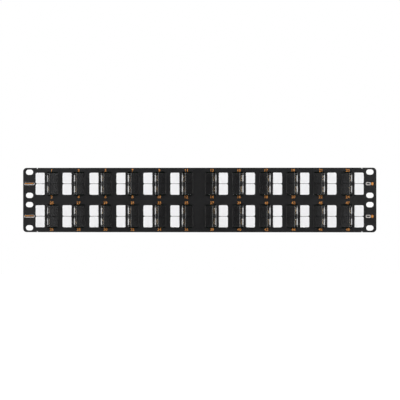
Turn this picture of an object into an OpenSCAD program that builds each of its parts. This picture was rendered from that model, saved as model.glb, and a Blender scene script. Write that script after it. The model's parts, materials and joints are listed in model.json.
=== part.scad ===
// Angled 48-port patch panel for a 19-inch rack, two rack units high.
// The front faces -Y, X runs along the panel and Z is up. The plate's rear face is y = 0.
// Every port column is drawn in a local frame: s runs from the outer edge of the column's
// label towards the middle of the panel, and p is how far a point stands in front of the plate.

/* [Panel] */
// Overall width of the plate
panel_w = 482.6; // [482.6:0.1:482.6]
// Overall height of the plate
panel_h = 88.1; // [86:0.1:88.9]
// Thickness of the steel sheet
sheet = 1.6; // [1.2:0.1:2]
// Corner radius of the plate
corner_r = 5; // [1:0.5:8]
// How far the top and bottom flanges fold back
flange_depth = 14; // [8:1:20]
// Half the length of the folded flanges
flange_half = 221.2; // [220:0.1:222]

/* [Rack slots] */
// Distance between the left and right slot centres
slot_dx = 465.1; // [465:0.1:465.2]
// Height of a slot
slot_h = 7.2; // [6.8:0.1:7.5]
// Length of a slot
slot_l = 10.2; // [9:0.1:13]

/* [Ports] */
// Distance from the middle of the panel to the first label's outer edge
first_edge = 39.25; // [38:0.05:42]
// Distance from one port column to the next
column_pitch = 36.93; // [36:0.01:38]
// Height of one rack unit
rack_unit = 44.45; // [44.45:0.01:44.45]
// Height of one jack
jack_h = 14.3; // [13.8:0.1:14.4]
// Gap between the two stacked jacks
jack_gap = 0.5; // [0.3:0.1:0.8]
// Width of the plug opening
port_w = 11.8; // [11.7:0.1:12]
// Width of the latch channel
latch_w = 6; // [5.8:0.1:6.4]
// Width of the recess that the contact wires lie in
comb_w = 8.4; // [8:0.1:9]
// Spacing of the contact wires
wire_pitch = 1.02; // [1.02:0.01:1.02]
// Width of a contact wire
wire_w = 0.45; // [0.3:0.05:0.5]

/* [Labels] */
// Width of a label
label_w = 12.3; // [10:0.1:13]
// Height of a label
label_h = 14.75; // [14:0.05:14.9]
// Gap between the two stacked labels
label_gap = 0.6; // [0.2:0.1:1]
// Thickness of a label
label_t = 0.25; // [0.1:0.05:0.5]

/* [Circuit boards] */
// Gap between the plate and a board
board_gap = 14; // [14:0.5:16]
// Board thickness
board_t = 1.6; // [1.2:0.1:2]
// Board length
board_l = 103; // [102:0.5:104]
// Board height
board_h = 36; // [34:0.5:36]

/* [Wire blocks] */
// Length of a punch-down block
block_l = 29.4; // [28:0.1:29.6]
// Height of a punch-down block
block_h = 11; // [10:0.1:12]
// Depth of a punch-down block
block_d = 14; // [12:0.5:16]
// Spacing of the wire slots along a block
slot_step = 3.5; // [3.3:0.1:3.6]

/* [Cable support] */
// How far behind the plate the cable bars run
bar_y = 78; // [60:1:90]
// Diameter of a cable bar
bar_d = 5; // [4:0.5:7]

/* [Hidden] */
$fn = 48;
half_h = panel_h / 2;
row_z = rack_unit / 2;
outer_slot_z = 38.1;
inner_slot_z = 6.35;
board_y = board_gap;
board_back = board_gap + board_t;
board_s = 8.5;
block_step = block_l + 1;
block_z = 7.7;
fix_s = [11.5, 108.5];
fix_z = 15.2;
screw_r = 1.45;
thread_r = 1.5;
arm_x = 218.9;
arm_t = 1.5;
tab_l = 13;
tab_screw_y = 7;
// Corners of a window: their s, and their heights above the middle of the row.
window_s = [15.2, 16.4, 28.6, 31];
window_z = [14.9, 16.5, 16.5, 14.9];
// Port section, as sums and differences of s and p: the cavity runs 45 degrees inward.
lip_s = 15.6;
lip_r = 1.2;
crest = [17.2, 0.6];
ramp_start = [14.5, -0.6];
ramp_w = 8.8;
apex = [21.1, 9.4];
outer_sum = 30.5;
wire_s = 17.9;
comb_sum = 16.8;
floor_sum = 17.8;
roof_sum = 27.27;
latch_sum = 29.6;
end_diff = 29.6;
shell_s = 31.6;
shell_step_p = -2.2;
board_p = -sheet - board_gap;

// Where a module's outermost column starts, and which way it runs.
function edge_x(k) = first_edge + column_pitch * k;
function module_k(m) = (m % 4 == 0 || m % 4 == 3) ? 5 : 2;
function module_right(m) = m % 4 > 1;
function module_z(m) = m < 4 ? row_z : -row_z;
function at(s, p) = [s, -sheet - p];
function on(sum, diff) = at((sum + diff) / 2, (sum - diff) / 2);
function arc(c, r, a, b, n) = [for (i = [0:n]) c + r * [cos(a + (b - a) * i / n), sin(a + (b - a) * i / n)]];

module place(m) {
    x = edge_x(module_k(m));
    if (module_right(m))
        translate([x, 0, module_z(m)])
            mirror([1, 0, 0])
                children();
    else
        translate([-x, 0, module_z(m)])
            children();
}

module each_jack() {
    for (i = [0:2])
        for (up = [-1, 1])
            translate([column_pitch * i, 0, up * (jack_h + jack_gap) / 2])
                children();
}

module each_block() {
    for (i = [-1:1])
        for (up = [-1, 1])
            translate([board_s + board_l / 2 + block_step * i, board_back, up * block_z])
                children();
}

module each_fixing() {
    for (s = fix_s)
        for (up = [-1, 1])
            translate([s, 0, up * fix_z])
                rotate([-90, 0, 0])
                    children();
}

module slot(r, l) {
    rotate([90, 0, 0]) {
        for (side = [-1, 1])
            translate([side * (l / 2 - r), 0, -1])
                cylinder(r = r, h = sheet + 2);
        translate([-(l / 2 - r), -r, -1])
            cube([l - 2 * r, 2 * r, sheet + 2]);
    }
}

// Sheet-metal plate: ears with rack slots, two folded flanges and a window for each pair of jacks.
module plate_blank() {
    translate([-panel_w / 2, -sheet, -half_h + corner_r])
        cube([panel_w, sheet, panel_h - 2 * corner_r]);
    translate([-panel_w / 2 + corner_r, -sheet, -half_h])
        cube([panel_w - 2 * corner_r, sheet, panel_h]);
    for (x = [-1, 1])
        for (z = [-1, 1])
            translate([x * (panel_w / 2 - corner_r), 0, z * (half_h - corner_r)])
                rotate([90, 0, 0])
                    cylinder(r = corner_r, h = sheet);
    for (z = [-half_h, half_h - sheet])
        translate([-flange_half, -sheet, z])
            cube([2 * flange_half, sheet + flange_depth, sheet]);
}

module window() {
    translate([0, 1, 0])
        rotate([90, 0, 0])
            linear_extrude(sheet + 2)
                polygon(concat(
                    [for (i = [0:3]) [window_s[i], -window_z[i]]],
                    [for (i = [3:-1:0]) [window_s[i], window_z[i]]]
                ));
}

module face_panel() {
    color("#1c1c1e")
        difference() {
            plate_blank();
            for (m = [0:7])
                place(m)
                    for (i = [0:2])
                        translate([column_pitch * i, 0, 0])
                            window();
            for (x = [-1, 1])
                for (z = [-outer_slot_z, -inner_slot_z, inner_slot_z, outer_slot_z])
                    translate([x * slot_dx / 2, 0, z])
                        slot(slot_h / 2, slot_l);
            for (x = [-1, 1])
                for (z = [-1, 1])
                    translate([x * (flange_half + 0.6) - 0.6, -sheet - 1, z * half_h - 1.4])
                        cube([1.2, sheet + 2, 2.8]);
            for (x = [-1, 1])
                for (z = [-1, 1])
                    translate([x * (arm_x - tab_l / 2), tab_screw_y, 0])
                        mirror([0, 0, z > 0 ? 0 : 1])
                            translate([0, 0, half_h - sheet]) {
                                translate([0, 0, -1])
                                    cylinder(r = 1.7, h = sheet + 2);
                                cylinder(r1 = 1.7, r2 = 3.1, h = sheet + 0.01);
                            }
        }
}

// Write-on label card, with rounder corners on its outer side.
module label_card() {
    big = 1.8;
    small = 0.9;
    rotate([90, 0, 0])
        translate([0, 0, sheet])
            linear_extrude(label_t)
                polygon(concat(
                    arc([big, big], big, 180, 270, 5),
                    arc([label_w - small, small], small, 270, 360, 4),
                    arc([label_w - small, label_h - small], small, 0, 90, 4),
                    arc([big, label_h - big], big, 90, 180, 5)
                ));
}

module labels(first) {
    color("#f1f1f2")
        for (m = [first, first + 1])
            place(m)
                for (i = [0:2])
                    for (z = [label_gap / 2, -label_gap / 2 - label_h])
                        translate([column_pitch * i, 0, z])
                            label_card();
}

module labels_upper_left() {
    labels(0);
}

module labels_upper_right() {
    labels(2);
}

module labels_lower_left() {
    labels(4);
}

module labels_lower_right() {
    labels(6);
}

// Jack shell: one 45-degree socket. A shallow ramp leads over the lip in the middle of the mouth,
// and the mouth slopes from there up to the ridge.
module jack_shell() {
    lip_c = at(lip_s + lip_r, -0.4);
    ridge_c = at(apex[0], apex[1] - 0.45);
    chamber_y = 7.5 - sheet;
    difference() {
        translate([0, 0, -jack_h / 2])
            linear_extrude(jack_h)
                polygon(concat(
                    arc(lip_c, lip_r, 180, 290, 6),
                    arc(ridge_c, 0.35, 205, 315, 4),
                    [at(outer_sum, 0)],
                    [at(outer_sum, shell_step_p)],
                    [at(shell_s, shell_step_p)],
                    [at(shell_s, board_p)],
                    [at(lip_s, board_p)]
                ));
        translate([0, 0, -ramp_w / 2])
            linear_extrude(ramp_w)
                polygon([
                    at(ramp_start[0], ramp_start[1]), at(crest[0], crest[1]),
                    at(crest[0], 6), at(ramp_start[0], 6)
                ]);
        translate([0, 0, -port_w / 2])
            linear_extrude(port_w)
                polygon([on(floor_sum, 8), on(floor_sum, end_diff), on(roof_sum, end_diff), on(roof_sum, 4)]);
        translate([0, 0, -latch_w / 2])
            linear_extrude(latch_w)
                polygon([
                    on(roof_sum - 1, 4), on(roof_sum - 1, end_diff), on(latch_sum, end_diff), on(latch_sum, 2)
                ]);
        translate([0, 0, -comb_w / 2])
            linear_extrude(comb_w)
                polygon([
                    at(wire_s, comb_sum - wire_s), on(comb_sum, end_diff),
                    on(floor_sum + 0.7, end_diff), at(wire_s, floor_sum + 0.7 - wire_s)
                ]);
        translate([wire_s, 1 - sheet, -comb_w / 2])
            cube([0.8, board_gap + 1, comb_w]);
        translate([wire_s, chamber_y, -comb_w / 2])
            cube([4, board_gap - chamber_y + 1, comb_w]);
    }
}

module jack_shells(m) {
    color("#151517")
        place(m)
            each_jack()
                jack_shell();
}

module jack_shells_01_06() {
    jack_shells(0);
}

module jack_shells_07_12() {
    jack_shells(1);
}

module jack_shells_13_18() {
    jack_shells(2);
}

module jack_shells_19_24() {
    jack_shells(3);
}

module jack_shells_25_30() {
    jack_shells(4);
}

module jack_shells_31_36() {
    jack_shells(5);
}

module jack_shells_37_42() {
    jack_shells(6);
}

module jack_shells_43_48() {
    jack_shells(7);
}

// Spring contact: up from the board, round the lip and back into the socket.
module contact_wire() {
    translate([0, 0, -wire_w / 2])
        linear_extrude(wire_w)
            polygon([
                at(18.1, board_p), at(18.1, -0.35), at(18.17, -0.15), at(18.35, -0.05),
                at(25, -2.47), at(24.88, -2.8), at(18.45, -0.46), at(18.45, board_p)
            ]);
}

module contact_wires(first) {
    color("#d9a441")
        for (m = [first, first + 1])
            place(m)
                each_jack()
                    for (i = [0:7])
                        translate([0, 0, (i - 3.5) * wire_pitch])
                            contact_wire();
}

module contact_wires_upper_left() {
    contact_wires(0);
}

module contact_wires_upper_right() {
    contact_wires(2);
}

module contact_wires_lower_left() {
    contact_wires(4);
}

module contact_wires_lower_right() {
    contact_wires(6);
}

// Moulded insert that keeps the wires against the shell's wall.
module contact_carriers(first) {
    color("#3a3a3d")
        for (m = [first, first + 1])
            place(m)
                each_jack()
                    translate([wire_s + 0.65, 7.6 - sheet, -comb_w / 2 + 0.1])
                        cube([3.25, board_gap + sheet - 7.6, comb_w - 0.2]);
}

module contact_carriers_upper_left() {
    contact_carriers(0);
}

module contact_carriers_upper_right() {
    contact_carriers(2);
}

module contact_carriers_lower_left() {
    contact_carriers(4);
}

module contact_carriers_lower_right() {
    contact_carriers(6);
}

// Circuit board behind three port columns.
module circuit_board(m) {
    color("#17231b")
        place(m)
            difference() {
                translate([board_s, board_y, -board_h / 2])
                    cube([board_l, board_t, board_h]);
                each_fixing()
                    cylinder(r = 1.6, h = board_back + 1);
            }
}

module circuit_board_01_06() {
    circuit_board(0);
}

module circuit_board_07_12() {
    circuit_board(1);
}

module circuit_board_13_18() {
    circuit_board(2);
}

module circuit_board_19_24() {
    circuit_board(3);
}

module circuit_board_25_30() {
    circuit_board(4);
}

module circuit_board_31_36() {
    circuit_board(5);
}

module circuit_board_37_42() {
    circuit_board(6);
}

module circuit_board_43_48() {
    circuit_board(7);
}

// Four-pair punch-down block. The wire slots are open at the back, and a clip crosses each one.
module idc_block() {
    difference() {
        translate([-block_l / 2, 0, -block_h / 2])
            cube([block_l, block_d, block_h]);
        for (i = [0:7])
            translate([(i - 3.5) * slot_step, 0, 0]) {
                translate([-0.65, block_d - 8, -block_h / 2 - 1])
                    cube([1.3, 9, block_h + 2]);
                translate([-1.3, block_d - 10, -0.3])
                    cube([2.6, 11, 0.6]);
            }
    }
}

module idc_blocks(m) {
    color("#d8d6cc")
        place(m)
            each_block()
                idc_block();
}

module idc_blocks_01_06() {
    idc_blocks(0);
}

module idc_blocks_07_12() {
    idc_blocks(1);
}

module idc_blocks_13_18() {
    idc_blocks(2);
}

module idc_blocks_19_24() {
    idc_blocks(3);
}

module idc_blocks_25_30() {
    idc_blocks(4);
}

module idc_blocks_31_36() {
    idc_blocks(5);
}

module idc_blocks_37_42() {
    idc_blocks(6);
}

module idc_blocks_43_48() {
    idc_blocks(7);
}

// Forked clip that cuts through the insulation of a wire pushed into its slot.
module idc_clip() {
    translate([0, 0, -0.25])
        linear_extrude(0.5)
            polygon([
                [-1.25, block_d - 10], [1.25, block_d - 10], [1.25, block_d - 1.2], [0.5, block_d - 1.2],
                [0, block_d - 7], [-0.5, block_d - 1.2], [-1.25, block_d - 1.2]
            ]);
}

module idc_clips(first) {
    color("#c9c9c4")
        for (m = [first, first + 1])
            place(m)
                each_block()
                    for (i = [0:7])
                        translate([(i - 3.5) * slot_step, 0, 0])
                            idc_clip();
}

module idc_clips_upper_left() {
    idc_clips(0);
}

module idc_clips_upper_right() {
    idc_clips(2);
}

module idc_clips_lower_left() {
    idc_clips(4);
}

module idc_clips_lower_right() {
    idc_clips(6);
}

// Clinched standoffs on the plate's rear face, four to a board.
module board_standoffs() {
    color("#b9bbbd")
        for (m = [0:7])
            place(m)
                each_fixing()
                    difference() {
                        cylinder(r = 2.5, h = board_gap);
                        translate([0, 0, 4])
                            cylinder(r = thread_r, h = board_gap);
                    }
}

module board_screws() {
    color("#c4c6c8")
        for (m = [0:7])
            place(m)
                each_fixing() {
                    translate([0, 0, 6])
                        cylinder(r = screw_r, h = board_back - 6);
                    difference() {
                        translate([0, 0, board_back])
                            cylinder(r = 2.7, h = 1.9);
                        for (turn = [0, 90])
                            rotate(turn)
                                translate([-1.6, -0.25, board_back + 1])
                                    cube([3.2, 0.5, 1]);
                    }
                }
}

// Cable support arm: an upright web with a tab under each flange.
module support_arm() {
    difference() {
        union() {
            linear_extrude(arm_t)
                polygon([
                    [0.5, -42.4], [12.5, -42.4], [bar_y + 6, -31],
                    [bar_y + 6, 31], [12.5, 42.4], [0.5, 42.4]
                ]);
            for (z = [-42.4, 42.4 - arm_t])
                translate([0.5, z, -tab_l + arm_t])
                    cube([12, arm_t, tab_l]);
        }
        for (z = [-row_z, row_z])
            translate([bar_y, z, -1])
                cylinder(r = 1.7, h = arm_t + 2);
        for (z = [-1, 1])
            translate([tab_screw_y, z * 43, -tab_l / 2 + arm_t])
                rotate([z * 90, 0, 0])
                    cylinder(r = thread_r, h = 3);
    }
}

module support_arm_right() {
    color("#232326")
        translate([arm_x - arm_t, 0, 0])
            multmatrix([[0, 0, 1, 0], [1, 0, 0, 0], [0, 1, 0, 0], [0, 0, 0, 1]])
                support_arm();
}

module support_arm_left() {
    mirror([1, 0, 0])
        support_arm_right();
}

// Round bar between the arms, tapped at both ends.
module support_bar(z) {
    inner = arm_x - arm_t;
    color("#9fa2a5")
        translate([-inner, bar_y, z])
            rotate([0, 90, 0])
                difference() {
                    cylinder(d = bar_d, h = 2 * inner);
                    for (end = [-1, 2 * inner - 11])
                        translate([0, 0, end])
                            cylinder(r = thread_r, h = 12);
                }
}

module support_bar_upper() {
    support_bar(row_z);
}

module support_bar_lower() {
    support_bar(-row_z);
}

// Countersunk screws that hold the arms to the flanges.
module arm_screws() {
    color("#2b2b2e")
        for (x = [-1, 1])
            for (z = [0, 1])
                mirror([0, 0, z])
                    translate([x * (arm_x - tab_l / 2), tab_screw_y, half_h - sheet]) {
                        translate([0, 0, -4])
                            cylinder(r = screw_r, h = 4.2);
                        cylinder(r1 = 1.6, r2 = 3.0, h = sheet);
                    }
}

// Pan-head screws into the ends of the bars.
module bar_screws() {
    color("#c4c6c8")
        for (x = [0, 1])
            for (z = [-row_z, row_z])
                mirror([x, 0, 0])
                    translate([arm_x, bar_y, z])
                        rotate([0, 90, 0]) {
                            translate([0, 0, -9])
                                cylinder(r = screw_r, h = 9);
                            difference() {
                                cylinder(r = 2.8, h = 1.8);
                                for (turn = [0, 90])
                                    rotate(turn)
                                        translate([-1.6, -0.25, 1])
                                            cube([3.2, 0.5, 1]);
                            }
                        }
}

face_panel();
labels_upper_left();
labels_upper_right();
labels_lower_left();
labels_lower_right();
jack_shells_01_06();
jack_shells_07_12();
jack_shells_13_18();
jack_shells_19_24();
jack_shells_25_30();
jack_shells_31_36();
jack_shells_37_42();
jack_shells_43_48();
contact_wires_upper_left();
contact_wires_upper_right();
contact_wires_lower_left();
contact_wires_lower_right();
contact_carriers_upper_left();
contact_carriers_upper_right();
contact_carriers_lower_left();
contact_carriers_lower_right();
circuit_board_01_06();
circuit_board_07_12();
circuit_board_13_18();
circuit_board_19_24();
circuit_board_25_30();
circuit_board_31_36();
circuit_board_37_42();
circuit_board_43_48();
idc_blocks_01_06();
idc_blocks_07_12();
idc_blocks_13_18();
idc_blocks_19_24();
idc_blocks_25_30();
idc_blocks_31_36();
idc_blocks_37_42();
idc_blocks_43_48();
idc_clips_upper_left();
idc_clips_upper_right();
idc_clips_lower_left();
idc_clips_lower_right();
board_standoffs();
board_screws();
support_arm_left();
support_arm_right();
support_bar_upper();
support_bar_lower();
arm_screws();
bar_screws();
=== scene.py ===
"""Looks for the angled 48-port patch panel: materials, printed numbers, board details, light and camera."""

import json
import math

import bmesh
import bpy
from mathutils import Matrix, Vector


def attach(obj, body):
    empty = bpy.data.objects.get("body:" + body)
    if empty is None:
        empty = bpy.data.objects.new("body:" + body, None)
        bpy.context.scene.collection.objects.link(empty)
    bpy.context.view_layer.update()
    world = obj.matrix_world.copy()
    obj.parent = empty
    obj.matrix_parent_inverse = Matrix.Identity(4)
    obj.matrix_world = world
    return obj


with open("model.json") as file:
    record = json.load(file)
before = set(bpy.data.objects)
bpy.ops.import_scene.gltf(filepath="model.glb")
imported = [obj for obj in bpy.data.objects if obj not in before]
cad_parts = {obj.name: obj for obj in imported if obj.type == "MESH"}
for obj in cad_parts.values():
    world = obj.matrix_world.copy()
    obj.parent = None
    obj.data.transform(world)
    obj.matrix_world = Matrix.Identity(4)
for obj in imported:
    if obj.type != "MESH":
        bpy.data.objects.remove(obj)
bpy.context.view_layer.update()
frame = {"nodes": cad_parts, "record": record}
NODES = frame["nodes"]
MM = 0.001

# Layout of the face, in millimetres, the same as the CAD's. Here s runs from the outer edge of a
# column's label towards the middle of the panel.
FACE_Y = -1.6
FIRST_EDGE = 39.25
COLUMN_PITCH = 36.93
ROW_Z = 22.225

# Printed numbers, in millimetres: their s in each half, and their heights from the row's middle.
# NUMBER_BOLD and NUMBER_WELD are in units of the letter size, and NUMBER_SPACING scales the
# font's own spacing.
NUMBER_S_LEFT = 21.9
NUMBER_S_RIGHT = 21.55
NUMBER_ABOVE = 18.25
NUMBER_BELOW = 18.0
NUMBER_H = 3.9
NUMBER_BOLD = 0.026
NUMBER_SPACING = 1.04
NUMBER_WELD = 0.0005
INK = 0.03

# The printed marks on each ear: width, height, corner radius, x, and z above the row's middle.
LEFT_RING = (14.8, 3.8, 1.9, -232.7, 0.1)
LEFT_RING_HOLE = (13.8, 2.6, 1.3, -232.8, 0.5)
LEFT_BAR = (12.2, 0.9, 0.45, -233.0, 0.5)
RIGHT_RING = (6.5, 4.2, 1.3, 230.2, 0.0)
RIGHT_RING_HOLE = (4.2, 2.0, 0.6, 230.2, 0.0)
RIGHT_DOT = (3.2, 4.2, 1.6, 235.8, 0.0)

# Each module's outermost column, from left to right, counted from 0 beside the panel's middle.
MODULE_START = (5, 2, 2, 5)

# Details on the back of the circuit boards, in millimetres.
BOARD_BACK = 15.6
FIRST_BLOCK_S = 23.2
BLOCK_STEP = 30.4
PAIR_STEP = 7.0
STRIP_SIZE = (29.0, 0.5, 3.6)
STRIP_BEVEL = 0.1
PATCH_SIZE = (5.4, 0.2, 1.3)
PATCH_BEVEL = 0.05
PATCH_Z = 0.95
CHIP_SIZE = (1.2, 0.7, 0.8)
CHIP_BEVEL = 0.05
CHIP_END_SIZE = (0.4, 0.76, 0.86)
CHIP_END_BEVEL = 0.06
CHIP_END_X = 0.75
CHIP_Z = 15.2

# Bevels on the CAD nodes: width in millimetres and segments, by the start of the node's name.
BEVELS = {
    "jack_shells": (0.14, 2),
    "idc_blocks": (0.12, 1),
    "support_arm": (0.2, 2),
    "face_panel": (0.15, 2),
}
# The sharpest turn, in degrees, that stays unbevelled, and the gap, in metres, that is welded shut.
BEVEL_ANGLE = 32
WELD_GAP = 0.000002

# Where along Y the jacks' ridge wear starts and stops, in metres, and the share of gloss that rubbed ridges
# keep.
RIDGE_SCUFF = (-0.0088, -0.0103)
RIDGE_GLOSS_LEFT = 0.5
# Where along Y, in metres, the painted light just inside the jacks' mouths fades in and fades out.
MOUTH_LIGHT_IN = (-0.0018, -0.0008)
MOUTH_LIGHT_OUT = (0.0025, 0.004)

# The stage: places in metres, the strengths of its light, and the lens and sensor in millimetres.
FLOOR_Z = -0.75
FLOOR_HALF = 6.0
FLOOR_GLOW = 0.97
FILL_STRENGTH = 0.11
WHITE_STRENGTH = 1.0
CAMERA_PLACE = (0.0148, -0.952, 0.0)
CAMERA_AIM = (0.0012, -0.0016, 0.0)
CAMERA_LENS = 62.65
CAMERA_SENSOR = 36


# ---------------------------------------------------------------- materials
def principled(mat):
    return mat.node_tree.nodes["Principled BSDF"]


def new_material(name, color, roughness, metallic=0.0, **sockets):
    """A Principled material with its plain values set on the shader itself."""
    mat = bpy.data.materials.new(name)
    mat.use_nodes = True
    shader = principled(mat)
    shader.inputs["Base Color"].default_value = (*color, 1)
    shader.inputs["Roughness"].default_value = roughness
    shader.inputs["Metallic"].default_value = metallic
    for key, value in sockets.items():
        shader.inputs[key.replace("_", " ")].default_value = value
    return mat


def add(mat, kind, **values):
    """A new node, its sockets and settings given by name."""
    node = mat.node_tree.nodes.new(kind)
    for key, value in values.items():
        if key in node.inputs:
            node.inputs[key].default_value = value
        else:
            setattr(node, key, value)
    return node


def join(mat, out, into):
    """Links one socket to another."""
    mat.node_tree.links.new(out, into)


def coords(mat, stretch=(1, 1, 1)):
    """Object coordinates, stretched for brushed or drawn grain."""
    place = add(mat, "ShaderNodeTexCoord")
    if stretch == (1, 1, 1):
        return place.outputs["Object"]
    mapping = add(mat, "ShaderNodeMapping", Scale=stretch)
    join(mat, place.outputs["Object"], mapping.inputs["Vector"])
    return mapping.outputs["Vector"]


def along_y(mat):
    """The object's own Y, which runs from front to back."""
    split = add(mat, "ShaderNodeSeparateXYZ")
    join(mat, coords(mat), split.inputs["Vector"])
    return split.outputs["Y"]


def noise(mat, where, scale, detail=3.0):
    node = add(mat, "ShaderNodeTexNoise", Scale=scale, Detail=detail)
    join(mat, where, node.inputs["Vector"])
    return node.outputs["Fac"]


def spread(mat, fac, low, high, start=0.3, stop=0.7):
    """Maps a value from start to stop onto low to high."""
    node = add(mat, "ShaderNodeMapRange")
    for key, value in (("From Min", start), ("From Max", stop), ("To Min", low), ("To Max", high)):
        node.inputs[key].default_value = value
    join(mat, fac, node.inputs["Value"])
    return node.outputs["Result"]


def tint(mat, color, other, mask):
    """Mixes another colour over the one that feeds the shader, where the mask is high."""
    mix = add(mat, "ShaderNodeMix", data_type="RGBA")
    join(mat, mask, mix.inputs["Factor"])
    join(mat, color, mix.inputs["A"])
    mix.inputs["B"].default_value = (*other, 1)
    join(mat, mix.outputs["Result"], principled(mat).inputs["Base Color"])


def vary_roughness(mat, fac, low, high):
    """Lets a noise drive the roughness between two values."""
    join(mat, spread(mat, fac, low, high), principled(mat).inputs["Roughness"])


def vary_color(mat, fac, first, second):
    """Lets a noise drive the colour from one shade to another."""
    ramp = add(mat, "ShaderNodeValToRGB")
    ramp.color_ramp.elements[0].position = 0.35
    ramp.color_ramp.elements[1].position = 0.65
    ramp.color_ramp.elements[0].color = (*first, 1)
    ramp.color_ramp.elements[1].color = (*second, 1)
    join(mat, fac, ramp.inputs["Fac"])
    join(mat, ramp.outputs["Color"], principled(mat).inputs["Base Color"])
    return ramp.outputs["Color"]


def bump(mat, fac, depth, strength):
    """Raises the surface by a height field, depth in metres."""
    node = add(mat, "ShaderNodeBump", Strength=strength, Distance=depth)
    join(mat, fac, node.inputs["Height"])
    join(mat, node.outputs["Normal"], principled(mat).inputs["Normal"])


def edge_wear(mat, color, wear_color, radius, amount):
    """Rubs the sharp edges lighter, where a bevelled normal leaves the true one."""
    soft = add(mat, "ShaderNodeBevel", Radius=radius, samples=4)
    true = add(mat, "ShaderNodeNewGeometry")
    dot = add(mat, "ShaderNodeVectorMath", operation="DOT_PRODUCT")
    join(mat, soft.outputs["Normal"], dot.inputs[0])
    join(mat, true.outputs["Normal"], dot.inputs[1])
    tint(mat, color, wear_color, spread(mat, dot.outputs["Value"], 0.0, amount, 0.995, 0.9))


def powder_coat(name, dark, light):
    """Black powder coat: fine orange peel, faint clouding and rubbed edges."""
    mat = new_material(name, dark, 0.5, Specular_IOR_Level=0.25)
    where = coords(mat)
    color = vary_color(mat, noise(mat, where, 35, 4.0), dark, light)
    vary_roughness(mat, noise(mat, where, 260, 4.0), 0.42, 0.6)
    bump(mat, noise(mat, where, 1400, 2.0), 0.00003, 0.6)
    edge_wear(mat, color, (0.06, 0.06, 0.062), 0.0003, 0.5)
    return mat


def moulded(name, dark, light, rough, patchy=1.0, **sockets):
    """Moulded plastic with a faint grain and a gloss that is a little patchy."""
    mat = new_material(name, dark, rough, **sockets)
    where = coords(mat)
    vary_color(mat, noise(mat, where, 60, 3.0), dark, light)
    vary_roughness(mat, noise(mat, where, 180, 4.0), rough - 0.05 * patchy, rough + 0.08 * patchy)
    bump(mat, noise(mat, where, 900, 2.0), 0.000012, 0.4)
    return mat


def scuff_ridges(mat, start_y, stop_y, left_over):
    """Dulls the jacks' ridges, which plugs rub matt: the gloss fades out toward the front."""
    shader = principled(mat)
    y = along_y(mat)
    for key in ("Specular IOR Level", "Coat Weight"):
        full = shader.inputs[key].default_value
        join(mat, spread(mat, y, full, full * left_over, start_y, stop_y), shader.inputs[key])


def paint_mouth_light(mat, painted_light_grey, fade_in, fade_out):
    """Paints light into the sockets just inside the mouth: a paler grey over the black plastic, a painted
    lightening of the dark socket interior.
    """
    y = along_y(mat)
    mouth_light_band = add(mat, "ShaderNodeMath", operation="MULTIPLY")
    join(mat, spread(mat, y, 0.0, 1.0, *fade_in), mouth_light_band.inputs[0])
    join(mat, spread(mat, y, 1.0, 0.0, *fade_out), mouth_light_band.inputs[1])
    unpainted_color = principled(mat).inputs["Base Color"].links[0].from_socket
    tint(mat, unpainted_color, painted_light_grey, mouth_light_band.outputs["Value"])


def metal(name, first, second, rough, stretch=(1, 1, 1), grain=300):
    """Plated or drawn metal, its grain stretched along the piece."""
    mat = new_material(name, first, rough, metallic=1.0)
    where = coords(mat, stretch)
    grain_fac = noise(mat, where, grain, 4.0)
    vary_color(mat, grain_fac, first, second)
    vary_roughness(mat, noise(mat, where, grain / 3, 3.0), rough - 0.06, rough + 0.1)
    bump(mat, grain_fac, 0.000008, 0.35)
    return mat


def laminate(name):
    """Circuit board with dark solder mask over a faint track pattern."""
    mat = new_material(name, (0.008, 0.016, 0.011), 0.35)
    where = coords(mat)
    tracks = add(mat, "ShaderNodeTexBrick", Scale=420.0)
    for key, value in (
        ("Color1", (0.007, 0.015, 0.01, 1)),
        ("Color2", (0.009, 0.019, 0.013, 1)),
        ("Mortar", (0.02, 0.045, 0.03, 1)),
        ("Mortar Size", 0.03),
    ):
        tracks.inputs[key].default_value = value
    turned = add(mat, "ShaderNodeMapping", Rotation=(math.radians(90), 0, 0))
    join(mat, where, turned.inputs["Vector"])
    join(mat, turned.outputs["Vector"], tracks.inputs["Vector"])
    join(mat, tracks.outputs["Color"], principled(mat).inputs["Base Color"])
    vary_roughness(mat, noise(mat, where, 150, 4.0), 0.28, 0.42)
    bump(mat, tracks.outputs["Fac"], 0.00002, 0.5)
    return mat


def card(name):
    """Satin white label stock with a faint fibre."""
    mat = new_material(name, (0.9, 0.9, 0.915), 0.5)
    where = coords(mat)
    vary_color(mat, noise(mat, where, 90, 5.0), (0.885, 0.885, 0.9), (0.91, 0.91, 0.92))
    vary_roughness(mat, noise(mat, where, 400, 3.0), 0.42, 0.58)
    bump(mat, noise(mat, where, 2200, 3.0), 0.00001, 0.35)
    return mat


def ink(name, first, second):
    """Screen-print ink, slightly uneven."""
    mat = new_material(name, first, 0.5)
    where = coords(mat)
    vary_color(mat, noise(mat, where, 700, 3.0), first, second)
    vary_roughness(mat, noise(mat, where, 900, 2.0), 0.42, 0.6)
    bump(mat, noise(mat, where, 3000, 2.0), 0.00001, 0.3)
    return mat


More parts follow.
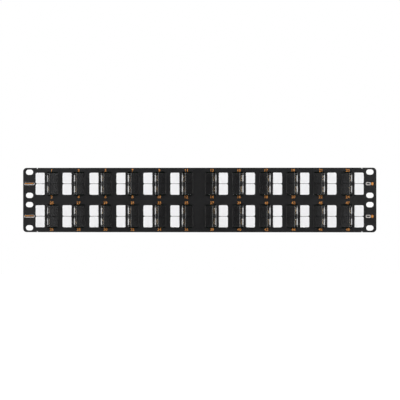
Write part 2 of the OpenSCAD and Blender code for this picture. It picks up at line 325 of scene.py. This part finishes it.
LOOKS = {
    "plate_steel": powder_coat("plate_steel", (0.0052, 0.0052, 0.0056), (0.008, 0.008, 0.0085)),
    "arm_steel": powder_coat("arm_steel", (0.0095, 0.0095, 0.01), (0.0135, 0.0135, 0.014)),
    "black_steel": powder_coat("black_steel", (0.012, 0.012, 0.012), (0.02, 0.02, 0.02)),
    "label_card": card("label_card"),
    "jack_plastic": moulded(
        "jack_plastic", (0.0135, 0.0135, 0.014), (0.0165, 0.0165, 0.017), 0.18, patchy=0.3,
        IOR=1.56, Coat_Weight=0.2, Coat_Roughness=0.08
    ),
    "carrier_plastic": moulded("carrier_plastic", (0.03, 0.03, 0.03), (0.045, 0.045, 0.045), 0.5),
    "contact_gold": metal("contact_gold", (0.97, 0.8, 0.57), (0.9, 0.72, 0.49), 0.56),
    "board_laminate": laminate("board_laminate"),
    "block_plastic": moulded("block_plastic", (0.62, 0.61, 0.56), (0.68, 0.67, 0.62), 0.42),
    "clip_metal": metal("clip_metal", (0.75, 0.74, 0.7), (0.66, 0.65, 0.6), 0.3),
    "zinc_steel": metal("zinc_steel", (0.62, 0.63, 0.64), (0.52, 0.53, 0.55), 0.33),
    "bar_steel": metal("bar_steel", (0.5, 0.51, 0.52), (0.42, 0.43, 0.44), 0.3, (0.04, 1, 1), 900),
}
scuff_ridges(LOOKS["jack_plastic"], *RIDGE_SCUFF, RIDGE_GLOSS_LEFT)
# Painted light: a pale grey just inside each jack's mouth lifts the dark, shaded socket interior.
paint_mouth_light(LOOKS["jack_plastic"], (0.12, 0.118, 0.112), MOUTH_LIGHT_IN, MOUTH_LIGHT_OUT)
ORANGE_INK = ink("orange_ink", (0.55, 0.205, 0.025), (0.62, 0.235, 0.035))
PALE_INK = ink("pale_ink", (0.47, 0.44, 0.42), (0.53, 0.5, 0.48))

for part in frame["record"]["subparts"]:
    node = NODES[part["node"]]
    node.data.materials.clear()
    node.data.materials.append(LOOKS[part["material_slot"]])


# ---------------------------------------------------------------- CAD edges
def soften(node, width, segments):
    """Breaks the moulded or folded edges of a CAD node with a small bevel, and keeps its faces flat."""
    weld = node.modifiers.new("weld", "WELD")
    weld.merge_threshold = WELD_GAP
    bevel = node.modifiers.new("bevel", "BEVEL")
    bevel.width = width * MM
    bevel.segments = segments
    bevel.limit_method = "ANGLE"
    bevel.angle_limit = math.radians(BEVEL_ANGLE)
    flatten = node.modifiers.new("flatten", "WEIGHTED_NORMAL")
    flatten.keep_sharp = True


for name, node in NODES.items():
    for start, (width, segments) in BEVELS.items():
        if name.startswith(start):
            soften(node, width, segments)


# ---------------------------------------------------------------- printed numbers and ear marks
def column_x(column, s):
    """World X of a point s millimetres in from the outer edge of a column's label."""
    if column < 6:
        return -(FIRST_EDGE + COLUMN_PITCH * (5 - column)) + s
    return FIRST_EDGE + COLUMN_PITCH * (column - 6) - s


def finish_piece(name, bm, material):
    """Turns a bmesh into a piece that rides on the panel."""
    bmesh.ops.recalc_face_normals(bm, faces=bm.faces)
    mesh = bpy.data.meshes.new(name)
    bm.to_mesh(mesh)
    bm.free()
    obj = bpy.data.objects.new(name, mesh)
    bpy.context.scene.collection.objects.link(obj)
    mesh.materials.append(material)
    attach(obj, "root")


def number_mesh(text):
    """A number as a thin plate of ink, centred on the origin in the XZ plane and NUMBER_H high."""
    curve = bpy.data.curves.new("number", "FONT")
    curve.body = text
    curve.size = 1.0
    curve.offset = NUMBER_BOLD
    curve.space_character = NUMBER_SPACING
    curve.align_x = "CENTER"
    curve.resolution_u = 3
    holder = bpy.data.objects.new("number", curve)
    bpy.context.scene.collection.objects.link(holder)
    flat = bpy.data.meshes.new_from_object(holder.evaluated_get(bpy.context.evaluated_depsgraph_get()))
    bm = bmesh.new()
    bm.from_mesh(flat)
    bpy.data.objects.remove(holder)
    bpy.data.curves.remove(curve)
    bpy.data.meshes.remove(flat)
    bmesh.ops.remove_doubles(bm, verts=bm.verts, dist=NUMBER_WELD)
    low = min(v.co.y for v in bm.verts)
    high = max(v.co.y for v in bm.verts)
    mid_x = (min(v.co.x for v in bm.verts) + max(v.co.x for v in bm.verts)) / 2
    scale = NUMBER_H / (high - low)
    for v in bm.verts:
        x, z = (v.co.x - mid_x) * scale, (v.co.y - (low + high) / 2) * scale
        v.co = Vector((x, 0, z))
    top = bmesh.ops.extrude_face_region(bm, geom=bm.faces[:])
    for v in top["geom"]:
        if isinstance(v, bmesh.types.BMVert):
            v.co.y -= INK
    mesh = bpy.data.meshes.new("number")
    bm.to_mesh(mesh)
    bm.free()
    return mesh


def stamp(bm, mesh, x, z):
    """Adds a number to a bmesh, on the plate's face at x and z millimetres."""
    start = len(bm.verts)
    bm.from_mesh(mesh)
    bm.verts.ensure_lookup_table()
    for v in bm.verts[start:]:
        v.co = Vector((v.co.x + x, v.co.y + FACE_Y, v.co.z + z)) * MM


def port_numbers(name, first, centre_z):
    """The numbers of one row: odd above its jacks, even below."""
    bm = bmesh.new()
    for column in range(12):
        x = column_x(column, NUMBER_S_LEFT if column < 6 else NUMBER_S_RIGHT)
        for below, z in enumerate((centre_z + NUMBER_ABOVE, centre_z - NUMBER_BELOW)):
            mesh = number_mesh(str(first + 2 * column + below))
            stamp(bm, mesh, x, z)
            bpy.data.meshes.remove(mesh)
    finish_piece(name, bm, ORANGE_INK)


port_numbers("port_numbers_upper", 1, ROW_Z)
port_numbers("port_numbers_lower", 25, -ROW_Z)


def rounded(width, height, radius, x, dz, row, steps=6):
    """Outline of a rounded rectangle in the XZ plane, centred on x and dz above a row's middle."""
    points = []
    for cx, cz, turn in ((1, 1, 0), (-1, 1, 90), (-1, -1, 180), (1, -1, 270)):
        for i in range(steps + 1):
            a = math.radians(turn + 90 * i / steps)
            px = cx * (width / 2 - radius) + radius * math.cos(a)
            pz = cz * (height / 2 - radius) + radius * math.sin(a)
            points.append((x + px, row + dz + pz))
    return points


def ink_plate(bm, outline, hole=None):
    """A thin raised patch of ink, with an optional hole that has as many points."""
    front = [bm.verts.new(Vector((x, FACE_Y - INK, z)) * MM) for x, z in outline]
    back = [bm.verts.new(Vector((x, FACE_Y, z)) * MM) for x, z in outline]
    count = len(outline)
    if hole is None:
        bm.faces.new(front)
        bm.faces.new(back[::-1])
    else:
        hole_front = [bm.verts.new(Vector((x, FACE_Y - INK, z)) * MM) for x, z in hole]
        hole_back = [bm.verts.new(Vector((x, FACE_Y, z)) * MM) for x, z in hole]
        for i in range(count):
            j = (i + 1) % count
            bm.faces.new((front[i], front[j], hole_front[j], hole_front[i]))
            bm.faces.new((back[j], back[i], hole_back[i], hole_back[j]))
            bm.faces.new((hole_front[i], hole_front[j], hole_back[j], hole_back[i]))
    for i in range(count):
        j = (i + 1) % count
        bm.faces.new((front[j], front[i], back[i], back[j]))


orange_marks = bmesh.new()
pale_marks = bmesh.new()
for row in (ROW_Z, -ROW_Z):
    ink_plate(pale_marks, rounded(*LEFT_RING, row), rounded(*LEFT_RING_HOLE, row))
    ink_plate(orange_marks, rounded(*LEFT_BAR, row))
    ink_plate(pale_marks, rounded(*RIGHT_RING, row), rounded(*RIGHT_RING_HOLE, row))
    ink_plate(orange_marks, rounded(*RIGHT_DOT, row))
finish_piece("ear_marks_orange", orange_marks, ORANGE_INK)
finish_piece("ear_marks_pale", pale_marks, PALE_INK)


# ---------------------------------------------------------------- board details behind the plate
def module_x(quarter, s):
    """World X of a point s millimetres in from a module's outermost column."""
    edge = FIRST_EDGE + COLUMN_PITCH * MODULE_START[quarter]
    return -edge + s if quarter < 2 else edge - s


def bevelled_box(bm, centre, size, bevel):
    """A small box with broken edges, in millimetres."""
    made = bmesh.ops.create_cube(bm, size=1.0)
    for v in made["verts"]:
        v.co = Vector((centre[i] + v.co[i] * size[i] for i in range(3))) * MM
    edges = {e for v in made["verts"] for e in v.link_edges}
    bmesh.ops.bevel(bm, geom=list(edges), offset=bevel * MM, segments=1, affect="EDGES")


PAIR_COLORS = {
    "blue": (0.03, 0.11, 0.45),
    "orange": (0.75, 0.22, 0.02),
    "green": (0.03, 0.3, 0.08),
    "brown": (0.16, 0.07, 0.03),
}
pair_bms = {color: bmesh.new() for color in PAIR_COLORS}
strip_bm = bmesh.new()
chip_bm = bmesh.new()
end_bm = bmesh.new()
for row in (ROW_Z, -ROW_Z):
    for quarter in range(4):
        for block in range(3):
            x = module_x(quarter, FIRST_BLOCK_S + BLOCK_STEP * block)
            strip_y = BOARD_BACK + STRIP_SIZE[1] / 2
            patch_y = BOARD_BACK + STRIP_SIZE[1] + PATCH_SIZE[1] / 4
            chip_y = BOARD_BACK + CHIP_SIZE[1] / 2
            bevelled_box(strip_bm, (x, strip_y, row), STRIP_SIZE, STRIP_BEVEL)
            for up in (-1, 1):
                for pair, bm in enumerate(pair_bms.values()):
                    pair_x = x + (pair - 1.5) * PAIR_STEP
                    patch_place = (pair_x, patch_y, row + up * PATCH_Z)
                    bevelled_box(bm, patch_place, PATCH_SIZE, PATCH_BEVEL)
                    chip_z = row + up * CHIP_Z
                    bevelled_box(chip_bm, (pair_x, chip_y, chip_z), CHIP_SIZE, CHIP_BEVEL)
                    for side in (-1, 1):
                        end = (pair_x + side * CHIP_END_X, chip_y, chip_z)
                        bevelled_box(end_bm, end, CHIP_END_SIZE, CHIP_END_BEVEL)
for color, bm in pair_bms.items():
    shade = PAIR_COLORS[color]
    patch = ink("pair_" + color, shade, tuple(min(1, c * 1.15) for c in shade))
    finish_piece("pair_code_" + color, bm, patch)
finish_piece("pair_code_strips", strip_bm, LOOKS["label_card"])
finish_piece("board_capacitors", chip_bm, moulded("capacitor", (0.28, 0.2, 0.13), (0.34, 0.25, 0.17), 0.45))
finish_piece("board_capacitor_ends", end_bm, metal("tinned", (0.8, 0.8, 0.78), (0.7, 0.7, 0.68), 0.3))


# ---------------------------------------------------------------- light, floor and camera
def area_light(name, place, size, power, diffuse=True, glossy=True):
    """A soft box aimed at the panel. It can be made to light only matt or only glossy surfaces."""
    data = bpy.data.lights.new(name, "AREA")
    data.shape = "RECTANGLE"
    data.size, data.size_y = size
    data.energy = power
    obj = bpy.data.objects.new(name, data)
    obj.location = place
    obj.rotation_mode = "QUATERNION"
    obj.rotation_quaternion = (-Vector(place)).to_track_quat("-Z", "Y")
    obj.visible_camera = False
    obj.visible_diffuse = diffuse
    obj.visible_glossy = glossy
    bpy.context.scene.collection.objects.link(obj)


area_light("left_softbox", (-1.22, -0.8, 0.15), (0.45, 1.2), 17, diffuse=False)
area_light("right_softbox", (1.22, -0.8, 0.15), (0.45, 1.2), 17, diffuse=False)
area_light("top_softbox", (0, -1.1, 1.05), (1.6, 0.5), 8.5)
area_light("rear_softbox", (0.3, 1.6, 0.9), (1.4, 0.8), 34, glossy=False)
area_light("rear_strip", (0.1, 1.6, -0.3), (1.8, 0.3), 8, diffuse=False)
area_light("front_fill", (0, -2.6, 0.3), (2.4, 1.4), 51, glossy=False)

world = bpy.data.worlds.new("studio")
world.use_nodes = True
bpy.context.scene.world = world
tree = world.node_tree
tree.nodes.clear()
# The camera sees a white background, and surfaces see a dim even fill.
output = tree.nodes.new("ShaderNodeOutputWorld")
chooser = tree.nodes.new("ShaderNodeMixShader")
path = tree.nodes.new("ShaderNodeLightPath")
fill = tree.nodes.new("ShaderNodeBackground")
white = tree.nodes.new("ShaderNodeBackground")
for background, strength in ((fill, FILL_STRENGTH), (white, WHITE_STRENGTH)):
    background.inputs["Color"].default_value = (1, 1, 1, 1)
    background.inputs["Strength"].default_value = strength
tree.links.new(path.outputs["Is Camera Ray"], chooser.inputs["Fac"])
tree.links.new(fill.outputs["Background"], chooser.inputs[1])
tree.links.new(white.outputs["Background"], chooser.inputs[2])
tree.links.new(chooser.outputs["Shader"], output.inputs["Surface"])

floor_mesh = bpy.data.meshes.new("floor")
corners = [(x * FLOOR_HALF, y * FLOOR_HALF, FLOOR_Z) for x, y in ((-1, -1), (1, -1), (1, 1), (-1, 1))]
floor_mesh.from_pydata(corners, [], [(0, 1, 2, 3)])
floor = bpy.data.objects.new("floor", floor_mesh)
bpy.context.scene.collection.objects.link(floor)
floor_mat = new_material("floor", (0.9, 0.9, 0.9), 0.8)
principled(floor_mat).inputs["Emission Color"].default_value = (1, 1, 1, 1)
principled(floor_mat).inputs["Emission Strength"].default_value = FLOOR_GLOW
floor_mesh.materials.append(floor_mat)
# The floor shows white without throwing light up onto the glossy black faces.
floor.visible_diffuse = False
floor.visible_glossy = False

bpy.context.scene.view_settings.view_transform = "Standard"
bpy.context.scene.view_settings.look = "None"

camera_data = bpy.data.cameras.new("camera")
camera_data.sensor_width = CAMERA_SENSOR
camera_data.lens = CAMERA_LENS
camera = bpy.data.objects.new("camera", camera_data)
camera.location = CAMERA_PLACE
camera.rotation_mode = "QUATERNION"
camera.rotation_quaternion = (Vector(CAMERA_AIM) - Vector(CAMERA_PLACE)).to_track_quat("-Z", "Y")
bpy.context.scene.collection.objects.link(camera)
bpy.context.scene.camera = camera
